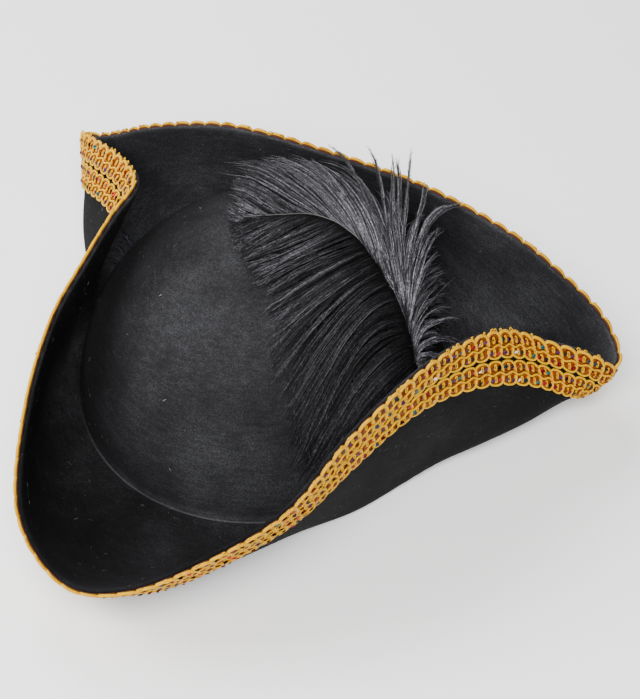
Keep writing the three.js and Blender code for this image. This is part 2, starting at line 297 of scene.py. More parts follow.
def brim_sheet():
    """The brim's upper side as columns of points from the rim down to the gutter, and its normals."""
    fold = closed_spline(brim_points(*TABLE[1:4]), PLACES)
    rim = closed_spline(RIM_TABLE, PLACES)
    foot = polar(foot_radius(BASE_ANGLES) + GUTTER_WIDTH, BASE_ANGLES, FELT_WALL)
    low = foot + (fold - foot) * FOLD_TIGHTNESS
    high = rim + (fold - rim) * FOLD_TIGHTNESS
    w = np.linspace(0, 1, SECTION_STEPS)[None, :, None]
    curve = ((1 - w) ** 3 * rim[:, None] + 3 * (1 - w) ** 2 * w * high[:, None]
             + 3 * (1 - w) * w ** 2 * low[:, None] + w ** 3 * foot[:, None])
    lengths = along(curve)
    upper = np.empty((COLUMNS, BRIM_RINGS, 3))
    for column, length, points in zip(upper, lengths, curve):
        at = np.linspace(0, length[-1], BRIM_RINGS)
        for axis in range(3):
            column[:, axis] = np.interp(at, length, points[:, axis])
    across = np.roll(upper, -1, 0) - np.roll(upper, 1, 0)
    down = np.gradient(upper, axis=1)
    normals = unit(np.cross(across, down))
    normals[:, -1] = (0, 0, 1)
    return upper + normals * crease_heights(upper), normals, lengths[:, -1]


def crease_heights(upper):
    """How far the creases press the felt in: below 0, and least at their ends."""
    heights = np.zeros(upper.shape[:2] + (1,))
    for *places, depth, width in CREASES:
        start, end = (upper[round(at * COLUMNS), round(down * (BRIM_RINGS - 1))]
                      for at, down in (places[:2], places[2:]))
        share = np.clip((upper - start) @ (end - start) / np.sum((end - start) ** 2), 0, 1)[..., None]
        distance = np.linalg.norm(upper - start - share * (end - start), axis=-1, keepdims=True)
        heights -= depth * np.exp(-(distance / width) ** 2) * np.sin(np.pi * (0.1 + 0.8 * share))
    return heights


UPPER, NORMALS, SECTION_LENGTHS = brim_sheet()
UNDER = UPPER - NORMALS * FELT_WALL
RIM_STEPS = 4 * COLUMNS
RIM_AT = np.arange(RIM_STEPS + 1) / RIM_STEPS
RIM_LENGTHS = along(closed_spline(RIM_TABLE, RIM_AT))
RIM_LENGTH = RIM_LENGTHS[-1]
SCALLOPS = round(RIM_LENGTH / SCALLOP_PITCH)


def off_felt(distance, depth, height, face=UNDER, side=-1):
    """Points off one of the brim's faces, at first its outer one: distance round the rim as a share, depth
    below the rim in millimetres, height off the felt."""
    place = np.interp(distance % 1, RIM_LENGTHS / RIM_LENGTH, RIM_AT) * COLUMNS
    column = np.floor(place).astype(int)
    w = (place - column)[..., None]
    ring = depth / SECTION_LENGTHS[column % COLUMNS] * (BRIM_RINGS - 1)
    row = np.clip(np.floor(ring).astype(int), 0, BRIM_RINGS - 2)
    v = (ring - row)[..., None]

    def pick(grid):
        columns = (column % COLUMNS, (column + 1) % COLUMNS)
        here, following = (grid[c, row] * (1 - v) + grid[c, row + 1] * v for c in columns)
        return here * (1 - w) + following * w

    outward = side * unit(pick(NORMALS))
    return pick(face) + outward * np.asarray(height)[..., None], outward


def over_crown(direction, height):
    """Points over the crown in the directions given, at heights above its surface."""
    flat = np.hypot(direction[..., 0] / (CROWN_WIDTH / 2), direction[..., 1] / (CROWN_LENGTH / 2))
    tall = np.maximum(direction[..., 2], 0) / CROWN_HEIGHT
    reach = (flat ** CROWN_FULLNESS + tall ** CROWN_FULLNESS) ** (-1 / CROWN_FULLNESS)
    return direction * reach[..., None] + unit(direction) * np.asarray(height)[..., None]


def heading(degrees_round, degrees_up):
    angle, climb = np.radians(degrees_round), np.radians(degrees_up)
    return polar(np.cos(climb), angle, np.sin(climb))


# Making meshes

def new_object(name, data):
    thing = bpy.data.objects.new(name, data)
    bpy.context.scene.collection.objects.link(thing)
    return thing


class Piece:
    """Gathers the points and faces of one piece, with a material number for each face and a UV for each
    corner, and turns them into a mesh object."""

    def __init__(self, name):
        self.name = name
        self.points, self.corners, self.sizes, self.slots, self.uvs = [], [], [], [], []
        self.first = 0

    def add(self, points, faces, uvs, slot=0):
        """Points (n, 3), faces (m, corners) and uvs (m, corners, 2)."""
        self.points.append(points.reshape(-1, 3))
        self.corners.append((faces + self.first).ravel())
        self.sizes.append(np.full(len(faces), faces.shape[1]))
        self.slots.append(np.full(len(faces), slot))
        self.uvs.append(uvs.reshape(-1, 2))

    def begin(self):
        """From here on, faces count their points from the next one that is added."""
        self.first = sum(len(p) for p in self.points)

    def build(self, materials, replaces=()):
        points = (np.concatenate(self.points) + MIDDLE) * MM
        corners, sizes = np.concatenate(self.corners), np.concatenate(self.sizes)
        mesh = bpy.data.meshes.new(self.name)
        mesh.vertices.add(len(points))
        mesh.vertices.foreach_set("co", points.astype(np.float32).ravel())
        mesh.loops.add(len(corners))
        mesh.loops.foreach_set("vertex_index", corners.astype(np.int32))
        mesh.polygons.add(len(sizes))
        mesh.polygons.foreach_set("loop_start", np.concatenate([[0], np.cumsum(sizes)[:-1]]).astype(np.int32))
        mesh.polygons.foreach_set("material_index", np.concatenate(self.slots).astype(np.int32))
        mesh.polygons.foreach_set("use_smooth", np.ones(len(sizes), bool))
        uvs = np.concatenate(self.uvs).astype(np.float32)
        mesh.uv_layers.new(name="UVMap").data.foreach_set("uv", uvs.ravel())
        mesh.update(calc_edges=True)
        mesh.validate()
        for material in materials:
            mesh.materials.append(material)
        piece = new_object(self.name, mesh)
        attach(piece, "root")
        if replaces:
            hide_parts(*replaces)


def full_turn(steps):
    """Angles in equal steps all the way round."""
    return np.arange(steps) * 2 * np.pi / steps


def add_strands(piece, paths, outward, radius, sides, slot=0, flatness=1.0, closed=False):
    """Threads along paths (k, steps, 3). Outward is the way that their flat side faces, radius a number or
    an array (k, steps), flatness their height as a share of their width."""
    count, steps = paths.shape[:2]
    radius = np.broadcast_to(radius, (count, steps))
    if closed:
        forward = np.roll(paths, -1, 1) - np.roll(paths, 1, 1)
    else:
        forward = np.gradient(paths, axis=1)
    forward = unit(forward)
    side = unit(np.cross(forward, np.broadcast_to(outward, paths.shape)))
    top = np.cross(side, forward)
    turn = full_turn(sides)
    ring = np.cos(turn)[:, None] * side[:, :, None] + flatness * np.sin(turn)[:, None] * top[:, :, None]
    points = paths[:, :, None] + ring * radius[:, :, None, None]
    here = np.arange(count * steps * sides).reshape(count, steps, sides)
    beside = np.roll(here, -1, 2)
    faces = np.stack([here, beside, np.roll(beside, -1, 1), np.roll(here, -1, 1)], -1)
    lengths = along(np.concatenate([paths, paths[:, :1]], 1) if closed else paths)
    low, high = lengths[:, :-1, None], lengths[:, 1:, None]
    u = np.stack([low, low, high, high], -1)
    v = (np.arange(sides)[:, None] + [0, 1, 1, 0]) / sides
    uvs = np.stack(np.broadcast_arrays(u, v), -1)
    piece.begin()
    piece.add(points, faces[:, :low.shape[1]].reshape(-1, 4), uvs, slot)
    if closed:
        return
    start_poles = paths[:, 0] - forward[:, 0] * radius[:, :1]
    end_poles = paths[:, -1] + forward[:, -1] * radius[:, -1:]
    poles = np.stack([start_poles, end_poles], 1)
    pole = np.broadcast_to(here.size + 2 * np.arange(count)[:, None], (count, sides))
    start = np.stack([pole, beside[:, 0], here[:, 0]], -1)
    end = np.stack([pole + 1, here[:, -1], beside[:, -1]], -1)
    caps = np.concatenate([start.reshape(-1, 3), end.reshape(-1, 3)])
    piece.add(poles, caps, np.zeros((len(caps), 3, 2)), slot)


def add_copies(piece, template, faces, origins, axes):
    """Copies of a small shape at the origins, turned to the axes (k, 3, 3)."""
    points = np.einsum("pa,kab->kpb", template, axes) + origins[:, None]
    ids = faces[None] + np.arange(len(origins))[:, None, None] * len(template)
    ids = ids.reshape(-1, faces.shape[1])
    piece.begin()
    piece.add(points, ids, np.zeros(ids.shape + (2,)))


def add_skin(piece, grid, uv, slots, poles):
    """A closed skin over columns (n, rings, 3) that run all the way round, with a pole at each end.
    Slots give the material of each row of faces."""
    count, rings = grid.shape[:2]
    here = np.arange(count * rings).reshape(count, rings)
    beside = np.roll(here, -1, 0)
    beside_uv = np.roll(uv, -1, 0)
    faces = np.stack([here[:, :-1], here[:, 1:], beside[:, 1:], beside[:, :-1]], -1)
    corner_uv = np.stack([uv[:, :-1], uv[:, 1:], beside_uv[:, 1:], beside_uv[:, :-1]], -2)
    corner_uv[-1, :, 2:, 0] += uv[-1, 0, 0] * count / (count - 1)
    nothing = np.empty((0, 3))
    piece.begin()
    piece.add(np.concatenate([grid.reshape(-1, 3), poles]), np.empty((0, 4), int), np.empty((0, 4, 2)))
    for slot in np.unique(slots):
        rows = slots == slot
        piece.add(nothing, faces[:, rows].reshape(-1, 4), corner_uv[:, rows].reshape(-1, 4, 2), slot)
    top = np.stack([np.full(count, here.size), here[:, 0], beside[:, 0]], -1)
    bottom = np.stack([np.full(count, here.size + 1), beside[:, -1], here[:, -1]], -1)
    caps = np.concatenate([top, bottom])
    piece.add(nothing, caps, np.zeros((len(caps), 3, 2)), slots[0])


# Materials

def new_material(name):
    material = bpy.data.materials.new(name)
    material.use_nodes = True
    return material, material.node_tree.nodes["Principled BSDF"]


def add_node(material, kind, inputs=(), **settings):
    node = material.node_tree.nodes.new("ShaderNode" + kind)
    for name, value in settings.items():
        setattr(node, name, value)
    connect(material, node, inputs)
    return node


def connect(material, node, inputs):
    for name, value in dict(inputs).items():
        if isinstance(value, bpy.types.NodeSocket):
            material.node_tree.links.new(value, node.inputs[name])
        else:
            node.inputs[name].default_value = value


def ramp(material, factor, stops, interpolation="LINEAR"):
    node = add_node(material, "ValToRGB", {"Fac": factor})
    node.color_ramp.interpolation = interpolation
    elements = node.color_ramp.elements
    while len(elements) < len(stops):
        elements.new(0.5)
    for element, (position, color) in zip(elements, stops):
        element.position = position
        element.color = (*color, 1)
    return node.outputs["Color"]


SHEEN = {"Sheen Weight": 0.012, "Sheen Tint": (0.8, 0.8, 0.9, 1)}
THREAD_GLINT = (1, 0.5, 0.02, 1)

# Colours of the sequins, each with the share at which it begins
SEQUIN_COLORS = [
    (0.0, (0.16, 0.003, 0.012)), (0.18, (0.36, 0.012, 0.02)), (0.30, (0.05, 0.004, 0.05)),
    (0.42, (0.012, 0.008, 0.010)), (0.56, (0.07, 0.015, 0.09)), (0.64, (0.010, 0.035, 0.05)),
    (0.72, (0.22, 0.045, 0.004)), (0.86, (0.02, 0.10, 0.10)), (0.91, (0.012, 0.008, 0.010)),
    (0.96, (0.80, 0.70, 0.72)),
]


def object_place(material):
    """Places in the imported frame, in metres."""
    return add_node(material, "TexCoord").outputs["Object"]


def stretched_uv(material, scale):
    """The UV map, which is in millimetres, times the number of grains in a millimetre each way."""
    uv = add_node(material, "TexCoord").outputs["UV"]
    return add_node(material, "Mapping", {"Vector": uv, "Scale": scale}).outputs["Vector"]


def random_per_island(material):
    return add_node(material, "NewGeometry").outputs["Random Per Island"]


def noise(material, scale, detail, roughness=0.5, vector=None):
    """Noise over the vector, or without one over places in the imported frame."""
    if vector is None:
        vector = object_place(material)
    return add_node(material, "TexNoise", {
        "Vector": vector, "Scale": scale, "Detail": detail, "Roughness": roughness}).outputs["Fac"]


def bump(material, height, strength, depth):
    """The normal of a bumpy surface, its depth in metres."""
    return add_node(material, "Bump", {
        "Height": height, "Strength": strength, "Distance": depth}).outputs["Normal"]


def mapped(material, value, from_min=0, from_max=1, to_min=0, to_max=1, interpolation="LINEAR"):
    return add_node(material, "MapRange", {
        "Value": value, "From Min": from_min, "From Max": from_max, "To Min": to_min, "To Max": to_max},
        interpolation_type=interpolation).outputs["Result"]


def combined(material, operation, first, second):
    return add_node(material, "Math", {0: first, 1: second}, operation=operation).outputs[0]


def scaled(material, color, factor):
    return add_node(material, "VectorMath", {0: color, "Scale": factor}, operation="SCALE").outputs["Vector"]


def shaded_across_hat(material, color, shade_ramp):
    """The color times painted light and shade that change across the hat, darker where it lies in shade. The
    shade ramp says along which axis, from where to where in metres, and from which tone to which."""
    axis, start, end, start_shade, end_shade = shade_ramp
    position = add_node(material, "SeparateXYZ", {"Vector": object_place(material)}).outputs[axis]
    tone = mapped(material, position, start, end, start_shade, end_shade, "SMOOTHSTEP")
    return scaled(material, color, tone)


def felt_material(name, streak_scale, shades, shade_ramp):
    """Short-napped felt: a fine fuzz over faint streaks and clouds, times painted shade across the hat.
    Shades run from its pits to its nap.
    """
    material, shader = new_material(name)
    streaks = noise(material, 1, detail=5, roughness=0.6, vector=stretched_uv(material, streak_scale))
    fuzz = noise(material, scale=1300, detail=5, roughness=0.85)
    clouds = noise(material, scale=22, detail=4, roughness=0.6)
    coarse = combined(material, "ADD", mapped(material, streaks, to_min=0.26, to_max=0.74), clouds)
    tone = combined(material, "MULTIPLY", fuzz, coarse)
    color = ramp(material, tone, list(zip((0.3, 0.5, 0.75), shades)))
    connect(material, shader, {
        "Base Color": shaded_across_hat(material, color, shade_ramp), "Normal": bump(material, tone, 0.6, 0.0007),
        "Roughness": 0.95, "Specular IOR Level": 0.07, "Sheen Roughness": 0.45, **SHEEN})
    return material


def nap_material():
    """Single fibres: most of them dark, a few as pale as lint."""
    material, shader = new_material("felt_nap")
    color = ramp(material, random_per_island(material), [
        (0.0, (0.02, 0.02, 0.022)), (0.93, (0.10, 0.10, 0.11)), (0.985, (0.5, 0.5, 0.52))])
    grain = noise(material, scale=3000, detail=2)
    connect(material, shader, {
        "Base Color": color, "Normal": bump(material, grain, 0.4, 0.0001), "Roughness": 0.8})
    return material


def thread_material(name, light, dark):
    """Lustrous twisted thread, its twist as slanting stripes round the strand."""
    material, shader = new_material(name)
    twist = add_node(material, "TexWave", {
        "Vector": stretched_uv(material, (1.1, 1.5, 1)), "Scale": 1, "Distortion": 0.5, "Detail": 1},
        bands_direction="DIAGONAL").outputs["Fac"]
    clouds = noise(material, scale=260, detail=3)
    color = ramp(material, combined(material, "ADD", twist, clouds), [(0.4, dark), (0.95, light)])
    connect(material, shader, {
        "Base Color": color, "Normal": bump(material, twist, 0.35, 0.0002), "Roughness": 0.5,
        "Specular IOR Level": 0.2, "Specular Tint": THREAD_GLINT})
    return material


def sequin_material():
    """Iridescent foil, each sequin in a colour of its own."""
    material, shader = new_material("sequin_foil")
    color = ramp(material, random_per_island(material), SEQUIN_COLORS, "CONSTANT")
    grain = noise(material, scale=2600, detail=2)
    connect(material, shader, {
        "Base Color": color, "Normal": bump(material, grain, 0.3, 0.0002), "Metallic": 0.9,
        "Roughness": 0.3})
    return material


def barb_material(name, shaded_root, shades, shade_ramp):
    """Feather barbs, frizzy and each in a shade of its own, times painted light and shade across the hat.
    Over the first millimetres that the root length gives, which lie deep in the vane, they are painted darker
    towards the quill as painted shade."""
    material, shader = new_material(name)
    uv = add_node(material, "TexCoord").outputs["UV"]
    along_barb = add_node(material, "SeparateXYZ", {"Vector": uv}).outputs["X"]
    grain = noise(material, 1, detail=4, roughness=0.75, vector=stretched_uv(material, (0.7, 3, 1)))
    shade = combined(material, "MULTIPLY", grain, random_per_island(material))
    color = ramp(material, shade, list(zip((0.0, 0.25, 0.6), shades)))
    frizz = noise(material, scale=900, detail=4, roughness=0.8)
    gaps = mapped(material, frizz, from_min=0.36, from_max=0.66, to_min=0.15, to_max=2.1)
    # Painted shade near the quill, where the barbs lie deep in the vane.
    depth = mapped(material, along_barb, from_max=shaded_root, to_min=0.05)
    color = scaled(material, scaled(material, color, gaps), depth)
    connect(material, shader, {
        "Base Color": shaded_across_hat(material, color, shade_ramp), "Normal": bump(material, frizz, 0.8, 0.0005),
        "Roughness": 0.6, "Specular IOR Level": 0.15, "Sheen Roughness": 0.4, **SHEEN})
    return material


def plain_material(name, color, roughness, grain_scale, grain_strength):
    """One colour, a fifth darker in the pits of a fine grain."""
    material, shader = new_material(name)
    grain = noise(material, scale=grain_scale, detail=4)
    darker = tuple(0.8 * c for c in color)
    tone = ramp(material, grain, [(0.35, darker), (0.65, color)])
    connect(material, shader, {
        "Base Color": tone, "Normal": bump(material, grain, grain_strength, 0.0003),
        "Roughness": roughness})
    return material


# The felt body

DOME_RINGS = 34
LINING_RINGS = 16
EDGE_RINGS = 3
CROWN_FELT, INNER_FELT, OUTER_FELT, WELT_FELT = range(4)
FELT_SHADES = [(0.0065, 0.0065, 0.007), (0.0185, 0.0185, 0.020), (0.060, 0.060, 0.066)]
# The outer face's felt is painted darker than the inner face's: painted shade on the faces turned down and
# away from the light.
OUTER_SHADED_TONES = [(0.003, 0.003, 0.003), (0.007, 0.007, 0.007), (0.022, 0.022, 0.022)]
# The welt is painted paler than the felt: a painted highlight where the crease at the crown's foot catches
# the light.
WELT_HIGHLIGHT_TONES = [(0.02, 0.02, 0.021), (0.05, 0.05, 0.053), (0.13, 0.13, 0.135)]
FELTS = [
    # name, grains in a millimetre round and down, shades, shade ramp of painted light and shade across the
    # hat
    # Painted shade: the crown darker on its left in the trough by the flap, the brim's inner face darker at
    # the front and painted lighter at the back, the outer face and the welt darker on the left.
    ("crown", (0.06, 0.45, 1), FELT_SHADES, ("X", -0.075, -0.01, 0.24, 1.08)),
    ("brim_inside", (0.12, 0.4, 1), FELT_SHADES, ("Y", -0.11, 0.09, 0.32, 1.5)),
    ("brim_outside", (0.15, 0.4, 1), OUTER_SHADED_TONES, ("X", -0.13, 0.0, 0.5, 1.0)),
    ("welt", (0.4, 0.4, 1), WELT_HIGHLIGHT_TONES, ("X", -0.09, -0.03, 0.2, 0.9)),
]
NAP_FIBRES = 1500
NAP_LENGTHS = (0.8, 2.6)
NAP_RADII = (0.04, 0.075)
TACK_STEPS = 7
TACK_RADIUS = 0.2


def dome(turns, inset, foot_height):
    """Columns of a dome from its foot, turn 0, towards its top, turn 1."""
    bend = 2 / CROWN_FULLNESS
    climb = turns[None] * np.pi / 2
    radius = (foot_radius(BASE_ANGLES)[:, None] - inset) * np.cos(climb) ** bend
    rise = (CROWN_HEIGHT - FELT_WALL) * np.sin(climb) ** bend
    return polar(radius, BASE_ANGLES[:, None], foot_height + rise)


def welt():
    across, up = np.array(WELT_SECTION).T
    radius = foot_radius(BASE_ANGLES)[:, None] + WELT_WIDTH * across
    return polar(radius, BASE_ANGLES[:, None], FELT_WALL + WELT_HEIGHT * up[None])


def rim_edge():
    """The felt's round edge along the rim, from the brim's inner face to its outer one."""
    turn = np.pi * np.arange(1, EDGE_RINGS + 1) / (EDGE_RINGS + 1)
    middle = (UPPER[:, :1] + UNDER[:, :1]) / 2
    away = unit(UPPER[:, :1] - UPPER[:, 1:2])
    return middle + FELT_WALL / 2 * (np.cos(turn)[None, :, None] * NORMALS[:, :1]
                                     + np.sin(turn)[None, :, None] * away)


def make_felt(random):
    """The whole felt body as one skin, from the crown's top over the brim and back under the crown."""
    outside = dome(np.arange(DOME_RINGS)[::-1] / DOME_RINGS, 0, FELT_WALL)
    inside = dome(np.arange(LINING_RINGS) / LINING_RINGS, FELT_WALL, 0)
    parts = [(outside, CROWN_FELT), (welt(), WELT_FELT), (UPPER[:, ::-1], INNER_FELT),
             (rim_edge(), INNER_FELT), (UNDER, OUTER_FELT), (inside, CROWN_FELT)]
    grid = np.concatenate([part for part, _ in parts], 1)
    slots = np.concatenate([np.full(part.shape[1], slot) for part, slot in parts])[1:]
    rings = grid.shape[1]
    u = np.broadcast_to(PLACES[:, None] * RIM_LENGTH, (COLUMNS, rings))
    uv = np.stack([u, along(grid)], -1)
    poles = np.array([[0, 0, CROWN_HEIGHT], [0, 0, CROWN_HEIGHT - FELT_WALL]], float)
    felt = Piece("felt_shell")
    add_skin(felt, grid, uv, slots, poles)
    felt.build([felt_material("felt_" + name, *looks) for name, *looks in FELTS], ["felt_body"])
    add_nap(grid[:, :rings - LINING_RINGS], random)


def add_nap(grid, random):
    """Loose fibres of the felt's nap and a little pale lint, lying on its outer and upper faces."""
    across = np.roll(grid, -1, 0) - np.roll(grid, 1, 0)
    down = np.gradient(grid, axis=1)
    area = np.linalg.norm(np.cross(across, down), axis=-1).ravel()
    place = random.choice(area.size, NAP_FIBRES, p=area / area.sum())
    across, down, start = (values.reshape(-1, 3)[place] for values in (across, down, grid))
    normal = -unit(np.cross(across, down) + 1e-9)
    loose = random.uniform(-0.5, 0.5, (2, NAP_FIBRES, 1))
    start = start + loose[0] * across + loose[1] * down
    heading_to = unit(np.cross(normal, random.normal(0, 1, (NAP_FIBRES, 3))))
    length = random.uniform(*NAP_LENGTHS, (NAP_FIBRES, 1))
    bend = np.cross(normal, heading_to) * random.normal(0, 0.35, (NAP_FIBRES, 1))
    points = []
    for w in (0.0, 0.5, 1.0):
        lift = 0.1 + 1.2 * w * (1 - w)
        points.append(start + normal * lift + length * (heading_to * w + bend * w * w))
    radius = random.uniform(*NAP_RADII, (NAP_FIBRES, 1))
    nap = Piece("felt_nap")
    add_strands(nap, np.stack(points, 1), normal[:, None], radius, 3)
    nap.build([nap_material()])


def make_tacks(random):
    """Two loose threads at each tack, arched off the felt. One thread in four is pale."""
    w = np.linspace(0, 1, TACK_STEPS)
    table = np.repeat(np.array(TACKS), 2, 0)
    table = table + random.normal(0, 0.003, table.shape) * (1, 2, 1, 2)
    round_at, down_at = (table[:, k, None] * (1 - w) + table[:, k + 2, None] * w for k in (0, 1))
    distance = np.interp(round_at, RIM_AT, RIM_LENGTHS / RIM_LENGTH)
    length = np.interp(round_at, PLACES, SECTION_LENGTHS)
    lift = 0.2 + random.uniform(1.0, 3.0, (len(table), 1)) * np.sin(np.pi * w)
    path, outward = off_felt(distance, down_at * length, lift, UPPER, 1)
    path = path + random.normal(0, 0.15, path.shape)
    tacks = Piece("tacking_threads")
    pale = np.arange(len(table)) % 4 == 1
    for chosen, slot in ((~pale, 0), (pale, 1)):
        add_strands(tacks, path[chosen], outward[chosen], TACK_RADIUS, 5, slot)
    tacks.build([plain_material("tack_thread_blue", (0.012, 0.013, 0.028), 0.5, 1500, 0.3),
                 plain_material("tack_thread_pale", (0.11, 0.10, 0.13), 0.6, 1500, 0.3)])


# The braid

# The fill and lower threads take a darker amber copy of the yellow thread: painted shade where they lie under
# the others.
YELLOW, AMBER_SHADE, GROUND = range(3)
THREADS = {
    # kind: height over THREAD_HEIGHT, radius, sides, material
    "outer loop": (0.25, 0.62, 6, YELLOW),
    "rim loop": (0.25, 0.8, 6, YELLOW),
    "inner loop": (-0.05, 0.52, 5, AMBER_SHADE),
    "fan": (-0.35, 0.42, 4, AMBER_SHADE),
    "oval ring": (0.35, 0.42, 4, YELLOW),
    "link": (0.3, 0.4, 4, AMBER_SHADE),
    "upper cord": (0.75, 0.54, 6, YELLOW),
    "lower cord": (0.3, 0.45, 5, AMBER_SHADE),
    "picot": (0.1, 0.32, 4, YELLOW),
}
FAN_LEANS = (-0.36, -0.2, 0.2, 0.36)
CORD_STEPS = 8
GROUND_STEPS, GROUND_PARTS = 8, 5
SEQUIN_SIDES = 8
SEQUIN_RADIUS = 1.15
SEQUIN_RINGS = [
    # radius as a share of the sequin's, height
    (0.55, 0.16),
    (1.0, 0.42),
    (1.0, 0.26),
]
SEQUIN_TILT = 0.28


def along_braid(row, x, across, height):
    """Points on a row of braid: x in scallops round the rim, across from the row's middle line."""
    depth = row * ROW_PITCH - BRAID_OVER_RIM + BRAID_WIDTH / 2 + across
    return off_felt(x / SCALLOPS, depth, np.broadcast_to(height, np.shape(depth)))


def per_scallop(xs):
    """The same places in every scallop (scallops, places)."""
    return np.arange(SCALLOPS)[:, None] + np.asarray(xs)[None]


def arch(width, foot, crest, steps, squareness):
    """An arch over half a scallop's row: places across the scallop and distances from the middle line."""
    turn = np.linspace(0, np.pi, steps)
    x = 0.5 - width / 2 * np.sign(np.cos(turn)) * np.abs(np.cos(turn)) ** squareness
    return x, foot + (crest - foot) * np.abs(np.sin(turn)) ** squareness


def add_threads(piece, kind, row, x, across, lift=0.0, closed=False):
    """Threads of one kind on a row of braid, with lift added to their usual height."""
    height, radius, sides, slot = THREADS[kind]
    path, outward = along_braid(row, x, across, THREAD_HEIGHT + height + lift)
    add_strands(piece, path, outward, radius, sides, slot, closed=closed)


def add_lobe_threads(piece, kind, row, side, x, across, lift=0.0, closed=False):
    """The same thread in every scallop of one side of a row."""
    across = np.broadcast_to(side * across, (SCALLOPS, len(x)))
    add_threads(piece, kind, row, per_scallop(x), across, lift, closed)


def add_loops(piece, row, side, rise):
    """An outer and an inner loop in every scallop. The outer ones overlap their neighbours."""
    half = BRAID_WIDTH / 2
    steps = 15
    x, across = arch(width=1.10, foot=1.3, crest=half - 0.75 + rise, steps=steps, squareness=0.8)
    overlap = 0.35 * np.linspace(-1, 1, steps) + 0.12 * rise * (across / half) ** 2
    add_lobe_threads(piece, "rim loop" if rise else "outer loop", row, side, x, across, overlap)
    x, across = arch(width=0.76, foot=1.6, crest=half - 2.25 + rise, steps=10, squareness=0.9)
    add_lobe_threads(piece, "inner loop", row, side, x, across)


def add_fillings(piece, row, side):
    """What fills the loops: a fan of four threads, an oval ring on top, and links to the next scallop."""
    reach = np.linspace(0, 1, 4)
    for lean in FAN_LEANS:
        across = 0.5 + (BRAID_WIDTH / 2 - 2.0 - 6 * lean ** 2) * reach
        add_lobe_threads(piece, "fan", row, side, 0.5 + lean * (0.35 + 0.75 * reach), across)
    turn = full_turn(10)
    add_lobe_threads(piece, "oval ring", row, side, 0.5 + 0.075 * np.cos(turn), 3.9 + 2.1 * np.sin(turn),
                     closed=True)
    link = np.linspace(0, 1, 5)
    add_lobe_threads(piece, "link", row, side, 1 + 0.3 * (link - 0.5), 2.4 * (link * 2 - 1))


def add_cords(piece, row):
    """Two cords that wave across each other along the row's middle line."""
    x = np.arange(SCALLOPS * CORD_STEPS)[None] / CORD_STEPS
    wave = np.sin(2 * np.pi * x)
    add_threads(piece, "upper cord", row, x, 0.9 * wave, closed=True)
    add_threads(piece, "lower cord", row, x, -1.0 * wave, closed=True)


def add_ground(piece, row):
    """The woven ground of the row, a thin strip with scalloped edges. It is wider along the rim."""
    x = np.arange(SCALLOPS * GROUND_STEPS) / GROUND_STEPS
    edge = 5.0 + 2.3 * np.abs(np.sin(np.pi * x)) ** 0.4
    x = np.broadcast_to(x[:, None], (len(x), GROUND_PARTS))
    shares = np.linspace(-1, 1, GROUND_PARTS)
    across = edge[:, None] * shares - (RIM_RISE + 0.5) * (row == 0) * np.maximum(-shares, 0)
    top, _ = along_braid(row, x, across, GROUND_HEIGHT)
    bottom, _ = along_braid(row, x, across[:, ::-1], 0.1)
    ring = np.concatenate([top, bottom], 1)
    here = np.arange(len(ring) * 2 * GROUND_PARTS).reshape(ring.shape[:2])
    beside = np.roll(here, -1, 1)
    faces = np.stack([np.roll(here, -1, 0), np.roll(beside, -1, 0), beside, here], -1).reshape(-1, 4)
    piece.begin()
    piece.add(ring, faces, np.zeros((len(faces), 4, 2)), GROUND)


def add_picots(piece, random):
    """Small loops of thread that stand above some of the crests of the top edge."""
    turn = full_turn(8)
    x = per_scallop((0.3, 0.7)).ravel() + random.uniform(-0.2, 0.2, 2 * SCALLOPS)
    x = random.permutation(x)[:SCALLOPS, None]
    size = random.uniform(0.5, 1.2, x.shape)
    across = -(BRAID_WIDTH / 2 + RIM_RISE + size * np.sin(turn))
    add_threads(piece, "picot", 0, x + 0.1 * size * np.cos(turn), across, closed=True)


def make_braid(row, name, materials, random):
    piece = Piece("gimp_braid_" + name)
    for side in (-1, 1):
        add_loops(piece, row, side, RIM_RISE if (row, side) == (0, -1) else 0)
        add_fillings(piece, row, side)
    add_cords(piece, row)
    add_ground(piece, row)
    if row == 0:
        add_picots(piece, random)
    piece.build(materials, ["braid_" + name])


def cupped_sequin():
    """Points and faces of one sequin: a cupped disc with a thin edge, closed below."""
    points = [(0, 0, 0.05)]
    for share, height in SEQUIN_RINGS:
        points += [(SEQUIN_RADIUS * share * math.cos(a), SEQUIN_RADIUS * share * math.sin(a), height)
                   for a in full_turn(SEQUIN_SIDES)]
    points.append((0, 0, -0.12))
    last_ring = 1 + (len(SEQUIN_RINGS) - 1) * SEQUIN_SIDES
    faces = []
    for s in range(SEQUIN_SIDES):
        t = (s + 1) % SEQUIN_SIDES
        faces.append((0, 1 + s, 1 + t))
        for a in range(1, last_ring, SEQUIN_SIDES):
            b = a + SEQUIN_SIDES
            faces += [(a + s, b + s, b + t), (a + s, b + t, a + t)]
        faces.append((last_ring + s, len(points) - 1, last_ring + t))
    return np.array(points), np.array(faces)


def make_sequins(row, name, material, random):
    """Two sequins in every scallop of both sides of a row, each tilted its own way."""
    piece = Piece("sequins_" + name)
    for side in (-1, 1):
        x = per_scallop((0.25, 0.75)).ravel() + random.uniform(-0.04, 0.04, 2 * SCALLOPS)
        across = side * (4.1 + random.uniform(-0.4, 0.4, 2 * SCALLOPS))
        place, outward = along_braid(row, x, across, SEQUIN_HEIGHT)
        normal = unit(outward + random.normal(0, SEQUIN_TILT, outward.shape))
        first = unit(np.cross(normal, (0.3, 0.2, 1.0)))
        axes = np.stack([first, np.cross(normal, first), normal], 1)
        add_copies(piece, *cupped_sequin(), place, axes)
    piece.build([material])


